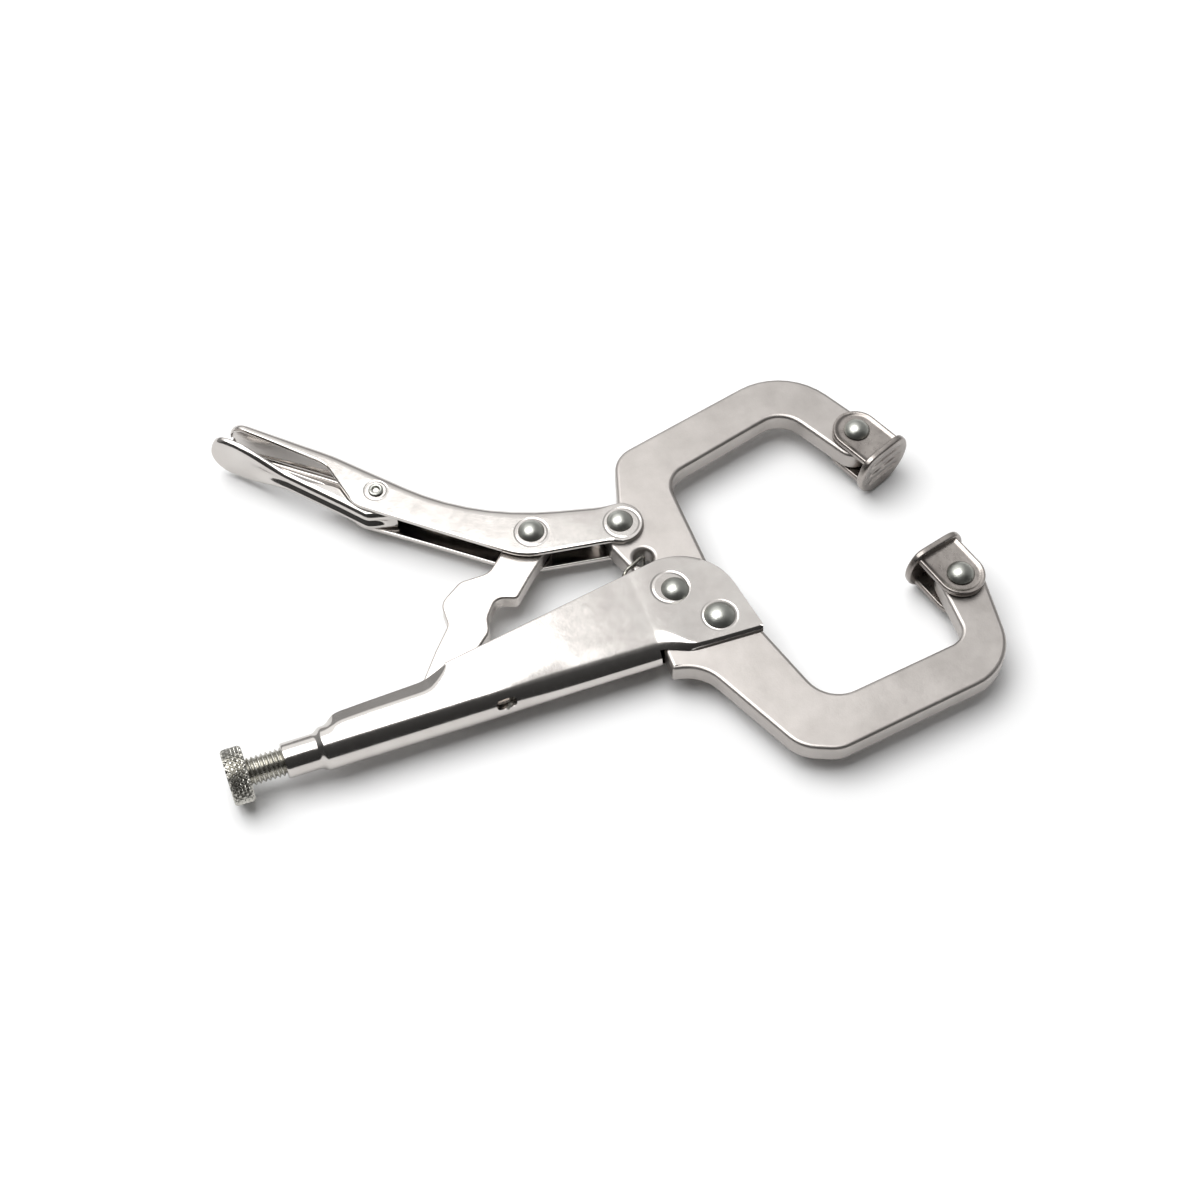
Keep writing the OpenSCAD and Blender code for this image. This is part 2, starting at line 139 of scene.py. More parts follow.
def soft_light(name, place, target, width, depth, power):
    """A softbox at place that faces target, in millimetres around the jaw pivot. Its width runs along x."""
    lamp = bpy.data.objects.new(name, bpy.data.lights.new(name, "AREA"))
    lamp.data.shape = "RECTANGLE"
    lamp.data.size, lamp.data.size_y = width, depth
    lamp.data.energy = power
    lamp.location = to_row(place)
    back = (lamp.location - Vector(to_row(target))).normalized()
    side = (Vector((1, 0, 0)) - back * back.x).normalized()
    lamp.rotation_euler = Matrix((side, back.cross(side), back)).transposed().to_euler()
    bpy.context.collection.objects.link(lamp)


soft_light("key", (-280, 200, 945), (-10, 0, 0), 0.93, 0.84, 9.0)

floor_mesh = bpy.data.meshes.new("floor")
floor_mesh.from_pydata([(-3, -3, 0), (3, -3, 0), (3, 3, 0), (-3, 3, 0)], [], [(0, 1, 2, 3)])
floor = bpy.data.objects.new("floor", floor_mesh)
bpy.context.collection.objects.link(floor)
# Uncoated paper has no gloss, so only the clamp's soft shadow shows on it.
paper = bpy.data.materials.new("matt white paper")
paper.use_nodes = True
paper_shader = paper.node_tree.nodes["Principled BSDF"]
paper_shader.inputs["Base Color"].default_value = colour("#F7F7F7")
paper_shader.inputs["Roughness"].default_value = 0.9
paper_shader.inputs["Specular IOR Level"].default_value = 0.1
floor_mesh.materials.append(paper)


# ---------------------------------------------------------------- Fixed handle
# One blank of 1.3 mm steel sheet, pressed into a channel whose rear is rolled into a tube and
# drawn down to a nose for the screw. Its lips stay apart over the toggle link's foot. Polished.
screw_axis = -9.7
sheet = 1.3
tube_r, nose_r, front_r = 4.7, 3.8, 4.1
nose_end, tube_from, web_end = -89.8, -81.0, -8.2
spine_low = -14.4
cheek_half = 3.9


def pivot(name):
    """Where a hinge stands in plan: its packed position less the jaw pivot's."""
    return (np.array(hinges[name]["pos_m"]) / MM - ORIGIN)[:2]


jaw_pin = np.zeros(2)
fixed_rivet = np.array([6.6, -9.4])
jaw_rivet, link_rivet, release_pin = pivot("lever_pivot"), pivot("link_pivot"), pivot("release_pivot")


def coined_ring(tree, place, centre, radius, width):
    """Height of a ring pressed around a rivet: 1 on the circle, falling to 0 a width away."""
    middle = [*to_row([*centre, 0])[:2], 0]
    offset = add_node(tree, "ShaderNodeVectorMath", {"operation": "SUBTRACT"}, _0=place, _1=middle)
    away = add_node(tree, "ShaderNodeVectorMath", {"operation": "LENGTH"}, _0=offset.outputs[0])
    gap = add_node(tree, "ShaderNodeMath", {"operation": "SUBTRACT"},
                   _0=away.outputs["Value"], _1=radius * MM)
    side = add_node(tree, "ShaderNodeMath", {"operation": "ABSOLUTE"}, _0=gap.outputs[0])
    height = add_node(tree, "ShaderNodeMapRange", {"interpolation_type": "SMOOTHSTEP"},
                      _0=side.outputs[0], _1=0.0, _2=width * MM, _3=1.0, _4=0.0)
    return height.outputs[0]


def plated_steel(name, base, tint, rough, rough_spread, grain_mm, grain_depth,
                 wave_mm=0, wave_depth=0, rings=()):
    """Metal whose colour drifts from base to tint over clouds, whose roughness drifts by rough_spread,
    and whose surface carries fine grain, broad waves and the rings coined around its rivets. Every size
    is in millimetres, and the grain is drawn coarser than the real one so that it shows."""
    cloud_mm, speck_mm = 9, 1.6
    metal = bpy.data.materials.new(name)
    metal.use_nodes = True
    tree = metal.node_tree
    shader = tree.nodes["Principled BSDF"]
    shader.inputs["Metallic"].default_value = 1.0
    place = add_node(tree, "ShaderNodeTexCoord").outputs["Object"]
    clouds = add_node(tree, "ShaderNodeTexNoise", Vector=place, Scale=1 / (cloud_mm * MM),
                      Detail=4.0, Roughness=0.6)
    blend = ramp(tree, clouds.outputs[0], [(0.35, colour(base)), (0.68, colour(tint))])
    tree.links.new(blend, shader.inputs["Base Color"])
    specks = add_node(tree, "ShaderNodeTexNoise", Vector=place, Scale=1 / (speck_mm * MM),
                      Detail=6.0, Roughness=0.7)
    gloss = add_node(tree, "ShaderNodeMapRange", _0=specks.outputs[0], _1=0.3, _2=0.7,
                     _3=rough - rough_spread, _4=rough + rough_spread)
    tree.links.new(gloss.outputs[0], shader.inputs["Roughness"])
    grain = add_node(tree, "ShaderNodeTexNoise", Vector=place, Scale=1 / (grain_mm * MM), Detail=3.0)
    bump = add_node(tree, "ShaderNodeBump", Strength=1.0, Distance=grain_depth * MM, Height=grain.outputs[0])
    if wave_mm:
        waves = add_node(tree, "ShaderNodeTexNoise", Vector=place, Scale=1 / (wave_mm * MM), Detail=1.0)
        bump = add_node(tree, "ShaderNodeBump", Strength=1.0, Distance=wave_depth * MM,
                        Height=waves.outputs[0], Normal=bump.outputs[0])
    if rings:
        flat = add_node(tree, "ShaderNodeVectorMath", {"operation": "MULTIPLY"}, _0=place, _1=(1, 1, 0))
        for centre, radius, width, depth in rings:
            mark = coined_ring(tree, flat.outputs[0], centre, radius, width)
            bump = add_node(tree, "ShaderNodeBump", {"invert": True}, Strength=1.0,
                            Distance=depth * MM, Height=mark, Normal=bump.outputs[0])
    tree.links.new(bump.outputs[0], shader.inputs["Normal"])
    return metal


# Nickel over steel that was polished flat before it was pressed. It gives near mirror reflections that
# waver a little across a cheek, and a bright edge where a ring was coined around each rivet.
polished = plated_steel(
    "polished nickel plate on pressed sheet", "#CAC6C2", "#C0BBB7", 0.14, 0.04, 0.5, 0.004, 7, 0.03,
    rings=[(jaw_pin + [-0.8, 0.7], 3.9, 0.5, 0.09), (fixed_rivet, 3.75, 0.4, 0.03),
           (jaw_rivet + [0.3, -0.6], 3.9, 0.45, 0.06), (link_rivet + [0, -0.3], 3.6, 0.45, 0.06),
           (release_pin, 2.5, 0.35, 0.06)])


def rounded(corners, step=5):
    """An open line through corners (x, y, radius): each inner corner becomes an arc of its radius."""
    corners = np.asarray(corners, float)
    line = [corners[:1, :2]]
    for before, here, after in zip(corners[:-2], corners[1:-1], corners[2:]):
        if here[2] <= 0:
            line.append(here[None, :2])
            continue
        u, v = before[:2] - here[:2], after[:2] - here[:2]
        u, v = u / np.linalg.norm(u), v / np.linalg.norm(v)
        half = math.acos(np.clip(u @ v, -1, 1)) / 2
        centre = here[:2] + (u + v) / np.linalg.norm(u + v) * here[2] / math.sin(half)
        first = here[:2] + u * here[2] / math.tan(half) - centre
        begin = math.atan2(first[1], first[0])
        turn = math.pi - 2 * half
        turn = turn if u[0] * v[1] - u[1] * v[0] < 0 else -turn
        angle = begin + np.linspace(0, turn, max(3, math.ceil(abs(math.degrees(turn)) / step) + 1))
        line.append(centre + here[2] * np.stack([np.cos(angle), np.sin(angle)], -1))
    return np.concatenate(line + [corners[-1:, :2]])


top_line = rounded([
    (-93, -5.0, 0), (-81.5, -5.0, 6), (-76.2, -3.8, 5), (-58, -2.8, 8), (-52, -1.0, 8), (10.7, 10.75, 13),
    (14.7, -15.6, 1.2), (13, -15.6, 0)])
x = np.concatenate([
    np.array([nose_end, nose_end + 0.12, nose_end + 0.35, nose_end + 0.7]),
    np.arange(-88.5, -83.2, 0.5), np.arange(-83.2, -76, 0.16),
    np.arange(-76, -55, 0.5), np.arange(-55, -50, 0.2),
    np.linspace(-50, web_end, 90)])


def smooth_step(x, low, high):
    """0 below low, 1 above high, and a smooth cubic between."""
    t = np.clip((np.asarray(x, float) - low) / (high - low), 0, 1)
    return t * t * (3 - 2 * t)


# The nose is drawn down from the tube, and its end is rounded over.
radius = np.interp(x, [-50, web_end], [tube_r, front_r])
radius = np.where(x < -60, nose_r + (tube_r - nose_r) * smooth_step(x, -82.9, tube_from), radius)
radius = radius - 0.35 * (1 - np.sqrt(np.clip(1 - (1 - np.clip((x - nose_end) / 0.5, 0, 1)) ** 2, 0, 1)))
low_line = np.where(x < -60, screw_axis - radius, spine_low)
top = np.interp(x, top_line[:, 0], top_line[:, 1])
rolled_in = 1 - smooth_step(x, -81.5, -77.2)
lip_band = np.interp(x, [-77, -70, -57], [3.2, 3.2, 3.6]) * np.sqrt(np.clip((-52.0 - x) / 4.5, 0, 1))
softened = tube_r + 2.4 * smooth_step(x, -46, -26)
softened = np.where(x > -46, softened - (tube_r - radius), radius)


def run_of(line):
    """Distance travelled along a line at each of its points."""
    return np.concatenate([[0], np.cumsum(np.linalg.norm(np.diff(line, axis=0), axis=1))])


def walk(line, distance):
    """Points on a line at the given distances along it."""
    run = run_of(line)
    return np.stack([np.interp(distance, run, line[:, 0]), np.interp(distance, run, line[:, 1])], -1)


# Ahead of the web's end only the two cheeks go on, over the fixed jaw and round the jaw pivot.
front_top = top_line[top_line[:, 0] > web_end]
front_top = np.concatenate([[[web_end, np.interp(web_end, top_line[:, 0], top_line[:, 1])]], front_top])
front_top = front_top[:np.argmax(front_top[:, 0] > 14.45) + 1]
front_low = np.array([[web_end, spine_low], [-3, -15.0], [2, -15.3], [14.1, -15.6]])
reach = np.linspace(0, 1, 90)[1:]
far_top = walk(front_top, reach * run_of(front_top)[-1])
far_low = walk(front_low, reach * run_of(front_low)[-1])
root = np.concatenate([np.stack([x, low_line], -1), far_low])
tip = np.concatenate([np.stack([x, top], -1), far_top])
height = np.linalg.norm(tip - root, axis=1)
across = (tip - root) / height[:, None]
stations = len(root)
bend_r = np.concatenate([radius, np.full(len(reach), front_r)])
half_w = np.concatenate([radius, cheek_half + 0.2 * (1 - smooth_step(reach, 0, 0.5))])


def pressed_channel(root, across, height, half, roll, deep, band, closed, opened, sheet,
                    edge=0.3, cheek_columns=22, rim=1.2, groove=0):
    """A sheet pressed into a channel, station by station. root is the web's line in plan, across the
    direction from it to the lips, height the distance between them, half the channel's half width, and
    roll and deep the half axes of its two elliptic bends, across and along the cheeks. Within band of
    its lip a cheek is bent inwards at lip_slope, and closed goes from 0 to 1 where the lips are curled
    to a full tube. From station opened on the web is cut away and two flat cheeks are left. The inner
    face lies one sheet inside the outer one. The middle of the web is sunk by groove, a cosine across."""
    count = len(root)
    half, roll, height, band, closed, deep, groove = [
        np.broadcast_to(v, count).astype(float)[:, None]
        for v in (half, roll, height, band, closed, deep, groove)]
    deep = np.minimum(deep, 0.75 * height)
    inner_roll, inner_deep = np.maximum(roll - sheet, 0.05), np.maximum(deep - sheet, 0.05)
    split = np.arcsin(np.clip((roll - sheet) / roll, 0, 1))

    def bend(angle):
        """Outer and inner points of a bend, as quarter ellipses that the angle sweeps from the web."""
        outer = np.stack([deep - deep * np.cos(angle), half - roll + roll * np.sin(angle)], -1)
        inner = np.stack([sheet + inner_deep - inner_deep * np.cos(angle),
                          half - sheet - inner_roll + inner_roll * np.sin(angle)], -1)
        return outer, inner

    share = np.linspace(0, 1, 9)[None, :-1]
    sunk = groove * (0.5 + 0.5 * np.cos(math.pi * share))
    web_out = np.stack([sunk, share * np.maximum(half - roll, 0)], -1)
    web_in = np.stack([sunk + sheet, share * np.maximum(half - sheet - inner_roll, 0)], -1)
    low_out, low_in = bend(np.linspace(0, 1, 7)[None] * split)
    high_out, high_in = bend(split + np.linspace(0, 1, 9)[None] * (math.pi / 2 - split))

    along = np.linspace(0, 1, cheek_columns + 1)[None, 1:]
    flat = deep + (height - edge - deep) * along
    lip_slope, soft, seam = 0.42, 0.22, 0.03
    z = half - lip_slope * soft * np.logaddexp(0, (flat - height + edge + band) / soft) * (band > 0.01)
    slope = np.gradient(z, axis=1) / np.gradient(flat, axis=1)
    normal = np.stack([slope, -np.ones_like(slope)], -1)
    angle = math.pi / 2 + along * (math.pi / 2 - seam)
    round_out = np.stack([roll - roll * np.cos(angle), half - roll + roll * np.sin(angle)], -1)
    round_normal = np.stack([np.cos(angle), -np.sin(angle)], -1) * np.ones_like(round_out)
    weight = closed[..., None]
    cheek_out = (1 - weight) * np.stack([flat, z], -1) + weight * round_out
    normal = (1 - weight) * normal + weight * round_normal
    normal = normal / np.linalg.norm(normal, axis=-1, keepdims=True)
    flat_in = sheet + inner_deep + np.maximum(height - edge - sheet - inner_deep, 0.05) * along
    cheek_in = cheek_out + sheet * normal
    plain = (1 - weight) * (band[..., None] <= 0.01)
    cheek_in = plain * np.stack([flat_in, z - sheet], -1) + (1 - plain) * cheek_in

    middle, reach = (cheek_out[:, -1:] + cheek_in[:, -1:]) / 2, (cheek_out[:, -1:] - cheek_in[:, -1:]) / 2
    beyond = np.stack([-normal[:, -1:, 1], normal[:, -1:, 0]], -1)
    turn = np.radians([30, 60, 90, 120, 150])[None, :, None]
    lip = middle + reach * np.cos(turn) + beyond * np.sin(turn) * edge * (1 - 0.97 * weight)

    def solid(section, stations, side):
        """Sections stood at their stations: out along across from the root, and to one side in z."""
        plan = root[stations, None] + across[stations, None] * section[stations, :, :1]
        return np.concatenate([plan, side * section[stations, :, 1:]], -1)

    closed_part = np.arange(opened + 1)
    whole = np.concatenate([web_out, low_out, high_out[:, 1:], cheek_out, lip, cheek_in[:, ::-1],
                            high_in[:, ::-1], low_in[:, -2::-1], web_in[:, ::-1]], 1)
    patches = [solid(whole, closed_part, side) for side in (1, -1)]
    loops = [patches[0][0], patches[1][0]]
    if opened < count - 1:
        far = np.arange(opened, count)
        start_depth = float(low_out[opened, -1, 0])
        start_reach = float(deep[opened, 0]) - start_depth
        fade = smooth_step(np.arange(count), opened, opened + (count - opened) * 0.35)[:, None]
        shape = (high_out[opened] - low_out[opened, -1]) / (high_out[opened, -1] - low_out[opened, -1])
        depth = start_depth * (1 - fade)
        reach_now = np.minimum(start_reach * (1 - fade) + rim * fade, 0.5 * height)
        edge_out = np.stack([depth + reach_now * shape[None, :, 0],
                             half - sheet + sheet * shape[None, :, 1]], -1)
        line = depth + reach_now + (height - edge - depth - reach_now) * along
        flat_out = np.stack([line, half + 0 * line], -1)
        bottom = np.stack([depth, half - sheet], -1)
        begin_in = np.stack([depth + reach_now, half - sheet], -1)
        flat_in = np.stack([line, half - sheet + 0 * line], -1)
        join = (np.arange(count) == opened)[:, None, None]
        flat_in = np.where(join, cheek_in, flat_in)
        begin_in = np.where(join, high_in[:, -1:], begin_in)
        last_out, last_in = flat_out[:, -1:], flat_in[:, -1:]
        tip = np.where(join, lip, (last_out + last_in) / 2 + (last_out - last_in) / 2 * np.cos(turn)
                       + np.array([1.0, 0.0]) * np.sin(turn) * edge)
        plate = np.concatenate([edge_out, flat_out, tip, flat_in[:, ::-1], begin_in, bottom], 1)
        for side in (1, -1):
            patches.append(solid(plate, far, side))
            loops.append(patches[-1][-1, :-1])
            web_end_face = np.concatenate(
                [web_out, low_out, high_in[:, ::-1], low_in[:, -2::-1], web_in[:, ::-1]], 1)
            loops.append(solid(web_end_face, np.array([opened]), side)[0])
    else:
        loops += [patches[0][-1], patches[1][-1]]
    return patches, loops


patches, loops = pressed_channel(
    root, across, height, half_w, np.minimum(bend_r, half_w),
    np.concatenate([softened, front_r + (softened[-1] - front_r) * (1 - smooth_step(reach, 0, 0.5))]),
    np.concatenate([lip_band, np.zeros(len(reach))]), np.concatenate([rolled_in, np.zeros(len(reach))]),
    len(x) - 1, sheet,
    cheek_columns=36)


def quads(rows, columns, start):
    """Corner numbers of the quads of a grid of points whose first point is number start."""
    number = np.arange(rows * columns).reshape(rows, columns) + start
    return np.stack([number[:-1, :-1], number[1:, :-1], number[1:, 1:], number[:-1, 1:]], -1).reshape(-1, 4)


def make_piece(name, patches, finish, loops=(), smooth=32):
    """One closed piece from grids of points and flat loops of points, all in millimetres around the
    jaw pivot: points that meet become one, and every face is turned outwards."""
    points, faces, start = [], [], 0
    for patch in patches:
        points.append(np.asarray(patch, float).reshape(-1, 3))
        faces += quads(*patch.shape[:2], start).tolist()
        start += len(points[-1])
    for loop in loops:
        points.append(np.asarray(loop, float))
        faces.append(list(range(start, start + len(loop))))
        start += len(loop)
    mesh = bpy.data.meshes.new(name)
    mesh.from_pydata(to_row(np.concatenate(points)).tolist(), [], faces)
    work = bmesh.new()
    work.from_mesh(mesh)
    bmesh.ops.remove_doubles(work, verts=work.verts, dist=2e-6)
    bmesh.ops.dissolve_degenerate(work, edges=work.edges, dist=1e-6)
    bmesh.ops.recalc_face_normals(work, faces=work.faces)
    work.to_mesh(mesh)
    work.free()
    mesh.shade_smooth()
    mesh.set_sharp_from_angle(angle=math.radians(smooth))
    mesh.materials.append(finish)
    piece = bpy.data.objects.new(name, mesh)
    bpy.context.collection.objects.link(piece)
    return piece


def punch(piece, centre, size, rounding):
    """Cuts a hole upwards along y through a piece, its outline a superellipse of power rounding: the
    cosine and sine of the turn are each raised to 2 / rounding, with their signs kept."""
    cutter = bpy.data.objects.new("punch", bpy.data.meshes.new("punch"))
    turn = np.linspace(0, 2 * math.pi, 33)[:-1]
    power = 2 / rounding
    ring = np.stack([size[0] / 2 * np.sign(np.cos(turn)) * np.abs(np.cos(turn)) ** power, 0 * turn,
                     size[2] / 2 * np.sign(np.sin(turn)) * np.abs(np.sin(turn)) ** power], -1)
    ends = [to_row(np.array(centre) + ring + [0, y, 0]) for y in (-size[1] / 2, size[1] / 2)]
    count = len(turn)
    faces = [(i, (i + 1) % count, (i + 1) % count + count, i + count) for i in range(count)]
    faces += [tuple(range(count))[::-1], tuple(range(count, 2 * count))]
    cutter.data.from_pydata(np.concatenate(ends).tolist(), [], faces)
    work = bmesh.new()
    work.from_mesh(cutter.data)
    bmesh.ops.recalc_face_normals(work, faces=work.faces)
    work.to_mesh(cutter.data)
    work.free()
    bpy.context.collection.objects.link(cutter)
    cut = piece.modifiers.new("hole", "BOOLEAN")
    cut.operation = "DIFFERENCE"
    cut.object = cutter
    cut.solver = "EXACT"
    bpy.context.view_layer.update()
    result = bpy.data.meshes.new_from_object(piece.evaluated_get(bpy.context.evaluated_depsgraph_get()))
    piece.modifiers.clear()
    piece.data = result
    bpy.data.objects.remove(cutter)


handle = make_piece("fixed_handle_pressing", patches, polished, loops)


# The spring's tail hooks into a slot in the spine.
punch(handle, (-42.6, -14.0, 2.2), (4.4, 4.2, 2.0), 3.2)
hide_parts("fixed_handle")
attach(handle, "root")

# ---------------------------------------------------------------- Lever handle
# A second sheet pressing with its open side towards the fixed handle. Its web runs along the
# outside and widens into a spoon at the tail; two flat cheeks are left at the jaw rivet.
lever_length, lever_angle, lever_end_r = 91, math.radians(142.8), 5.3
lever_bend_r = 2.3
tail_tip = jaw_rivet + lever_length * np.array([math.cos(lever_angle), math.sin(lever_angle)])
bend_point = jaw_rivet + [-28.9, 12.5]


def arc(centre, r, start, end, steps=24):
    """Points on a circle from one direction to another, in degrees."""
    angle = np.radians(np.linspace(start, end, steps))
    return centre + r * np.stack([np.cos(angle), np.sin(angle)], -1)


def corner_at(point, dx, dy, radius=0):
    """A corner of an outline: a step from a known point, with the radius that rounds it."""
    return point[0] + dx, point[1] + dy, radius


nose_arc = arc(jaw_rivet, lever_end_r, 75, -102)
back_line = rounded([corner_at(tail_tip, 0, 0), corner_at(tail_tip, 18.9, -16.4, 40), (*bend_point, 60),
                     corner_at(nose_arc[0], 0, 0)])
web_line = np.concatenate([back_line, nose_arc[1:]])
lip_line = rounded([
    corner_at(tail_tip, -1.6, -1.3), corner_at(tail_tip, 16.2, -18.7, 8), corner_at(tail_tip, 19, -31.1, 6),
    corner_at(link_rivet, -3.6, -5.6, 14), corner_at(jaw_rivet, -4.1, -4.1, 6),
    corner_at(nose_arc[-1], 0, 0)])
web_run = run_of(web_line)
nose_run = run_of(nose_arc)[-1]
web_stop = web_run[-1] - nose_run - 5.6
tail_steps = np.concatenate([[0, 0.1, 0.3, 0.6, 1.0, 1.5, 2.1, 2.8, 3.5], np.linspace(4.2, web_stop, 150)])
root = walk(web_line, tail_steps)
ahead = walk(web_line, tail_steps + 0.4) - walk(web_line, np.maximum(tail_steps - 0.4, 0))
ahead = ahead / np.linalg.norm(ahead, axis=1)[:, None]
inward = np.stack([ahead[:, 1], -ahead[:, 0]], -1)


def reach_to(points, directions, line):
    """How far each point's ray goes before it first meets a line of straight pieces."""
    start, piece = line[None, :-1], np.diff(line, axis=0)[None]
    cross = directions[:, None, 0] * piece[..., 1] - directions[:, None, 1] * piece[..., 0]
    gap = start - points[:, None]
    along = (gap[..., 0] * piece[..., 1] - gap[..., 1] * piece[..., 0]) / cross
    place = (gap[..., 0] * directions[:, None, 1] - gap[..., 1] * directions[:, None, 0]) / cross
    return np.where((place >= -1e-6) & (place <= 1 + 1e-6) & (along > 0), along, np.inf).min(1)


height = reach_to(root, inward, lip_line)
height = np.maximum(np.where(np.isfinite(height), height, 1.8), 1.8)
front_run = np.linspace(web_stop, web_run[-1], 70)[1:]
far_root = walk(web_line, front_run)
lip_from = root[-1] + inward[-1] * height[-1]
lip_run = run_of(lip_line)
begin = lip_run[np.argmin(np.linalg.norm(lip_line - lip_from, axis=1))]
far_lip = walk(lip_line, begin + (lip_run[-1] - begin) * (front_run - web_stop) / (web_run[-1] - web_stop))
settle = 1 - smooth_step(front_run, web_stop, web_stop + 3)
far_lip = far_lip + (lip_from - walk(lip_line, begin)) * settle[:, None]
far_height = np.linalg.norm(far_lip - far_root, axis=1)
far_across = (far_lip - far_root) / np.maximum(far_height, 1e-6)[:, None]
keep = far_height > 1.9
far_root, far_across, far_height = far_root[keep], far_across[keep], far_height[keep]
widen = smooth_step(tail_steps, 66, -6) ** 1.2
half_w = cheek_half + 2.1 * widen
corner = np.clip(4 - tail_steps, 0, 4)
half_w = half_w - 4 + np.sqrt(np.maximum(16 - corner ** 2, 0))
far_half = np.full(len(far_root), cheek_half)
patches, loops = pressed_channel(
    np.concatenate([root, far_root]), np.concatenate([inward, far_across]),
    np.concatenate([height, far_height]), np.concatenate([half_w, far_half]),
    np.minimum(lever_bend_r, np.concatenate([half_w - 0.2, far_half])),
    lever_bend_r, 0, 0, len(root) - 1, sheet, cheek_columns=16, rim=0.5)
lever = make_piece("lever_handle_pressing", patches, polished, loops)
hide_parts("lever_handle")
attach(lever, "lever")

# ---------------------------------------------------------------- Release lever
# A narrow pressing inside the lever's tail: two ears on a thin pin, a channel with low sides,
# and a broad paddle for the finger that opens the clamp. Polished like the handles.
release_sheet, ear_radius = 1.2, 3.5
release_line = rounded([
    corner_at(release_pin, 2.6, -6.6), corner_at(release_pin, -3.9, -4.9, 3),
    corner_at(release_pin, -8.5, 0.7, 20), corner_at(release_pin, -17.5, 11.2, 30),
    corner_at(release_pin, -27.3, 21.9, 30), corner_at(release_pin, -31.2, 25.7)])
length = run_of(release_line)[-1]
tip_steps = np.array([3.5, 2.8, 2.1, 1.5, 1.0, 0.6, 0.3, 0.1, 0])
steps = np.concatenate([np.linspace(0, length - 4, 90), length - tip_steps])
root = walk(release_line, steps)
ahead = walk(release_line, np.minimum(steps + 0.5, length)) - walk(release_line, np.maximum(steps - 0.5, 0))
ahead = ahead / np.linalg.norm(ahead, axis=1)[:, None]
inward = np.stack([ahead[:, 1], -ahead[:, 0]], -1)
to_pin = release_pin - root
beside = to_pin[:, 0] * inward[:, 0] + to_pin[:, 1] * inward[:, 1]
off = np.abs(to_pin[:, 0] * inward[:, 1] - to_pin[:, 1] * inward[:, 0])
ear = np.where(off < ear_radius, beside + np.sqrt(np.maximum(ear_radius ** 2 - off ** 2, 0)), 0)
sides = 1.75 + 1.9 * smooth_step(steps, 24, 16) + 1.6 * smooth_step(steps, 14, 8)
height = np.maximum(ear, sides)
half_w = 2.85 + 3.15 * smooth_step(steps, length - 21, length - 6)
corner = np.clip(4.5 - (length - steps), 0, 4.5)
half_w = half_w - 4.5 + np.sqrt(np.maximum(4.5 ** 2 - corner ** 2, 0))
groove = smooth_step(steps, length - 8, length - 16) * smooth_step(steps, 1, 5)
patches, loops = pressed_channel(
    root, inward, height, half_w, np.minimum(1.5, half_w - 0.05), 1.5, 0, 0, len(root) - 1,
    release_sheet, cheek_columns=10, groove=groove)
release = make_piece("release_lever_pressing", patches, polished, loops)
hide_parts("release_lever")
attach(release, "release")

# ---------------------------------------------------------------- Jaws and toggle link
# Blanked from plate, with the rims tumbled round, then nickel plated to a satin. The flat faces
# keep a fine grain, and small dents from handling.
# Tumbled plate under nickel blurs every reflection, so the faces read as an even warm grey.
satin = plated_steel("satin nickel plate on blanked jaw plate", "#B6B1AD", "#A9A4A0",
                     0.38, 0.05, 0.35, 0.012, 5, 0.03)
link_satin = plated_steel("satin nickel plate on the link", "#CFCAC5", "#C6C0BB",
                          0.30, 0.05, 0.35, 0.01, 5, 0.03)


def tumbled_plate(name, node, finish, rim):
    """The plate's own solid, with its triangles joined into flat faces and each edge that turns by more
    than 60 degrees rolled over to a radius of rim."""
    mesh = frame["nodes"][node].data.copy()
    work = bmesh.new()
    work.from_mesh(mesh)
    bmesh.ops.remove_doubles(work, verts=work.verts, dist=1e-6)
    bmesh.ops.dissolve_limit(work, angle_limit=math.radians(1), verts=work.verts, edges=work.edges)
    rims = [e for e in work.edges if e.calc_face_angle(0) > math.radians(60)]
    bmesh.ops.bevel(work, geom=rims, offset=rim * MM, segments=6, profile=0.5, affect="EDGES",
                    clamp_overlap=False)
    work.normal_update()
    for face in work.faces:
        face.smooth = abs(face.normal.z) < 0.9999
    work.to_mesh(mesh)
    work.free()
    mesh.materials.clear()
    mesh.materials.append(finish)
    piece = bpy.data.objects.new(name, mesh)
    bpy.context.collection.objects.link(piece)
    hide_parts(node)
    return piece


for name, node, body, finish, rim, slot in (
        ("moving_jaw_plate", "moving_jaw", "moving_jaw", satin, 0.9, "jaw_plate"),
        ("fixed_jaw_plate", "fixed_jaw", "root", satin, 0.9, "jaw_plate"),
        ("toggle_link_plate", "toggle_link", "link", link_satin, 0.45, "link_plate")):
    plate = tumbled_plate(name, node, finish, rim)
    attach(plate, body)

# ---------------------------------------------------------------- Rivets
# Cold-headed steel wire, closed over the sheets with a domed set and tumbled, so that the domes
# are a little greyer and duller than the sheet that they stand on.
upper_pin, lower_pin = pivot("upper_pad_swivel"), pivot("lower_pad_swivel")
# The tumbling leaves fine pits, so the domes give soft highlights on a slightly green grey.
headed = plated_steel("tumbled nickel plate on headed rivets", "#BBBCB6", "#A6A7A1",
                      0.33, 0.06, 0.3, 0.02, 2, 0.03)


def turned(centre, profile, around=64):
    """A profile of radius and height, turned about an upright axis."""
    angle = np.linspace(0, 2 * math.pi, around + 1)
    profile = np.asarray(profile, float)
    radius, height = profile[:, :1], profile[:, 1:]
    return np.stack([centre[0] + radius * np.cos(angle), centre[1] + radius * np.sin(angle),
                     height + 0 * angle], -1)


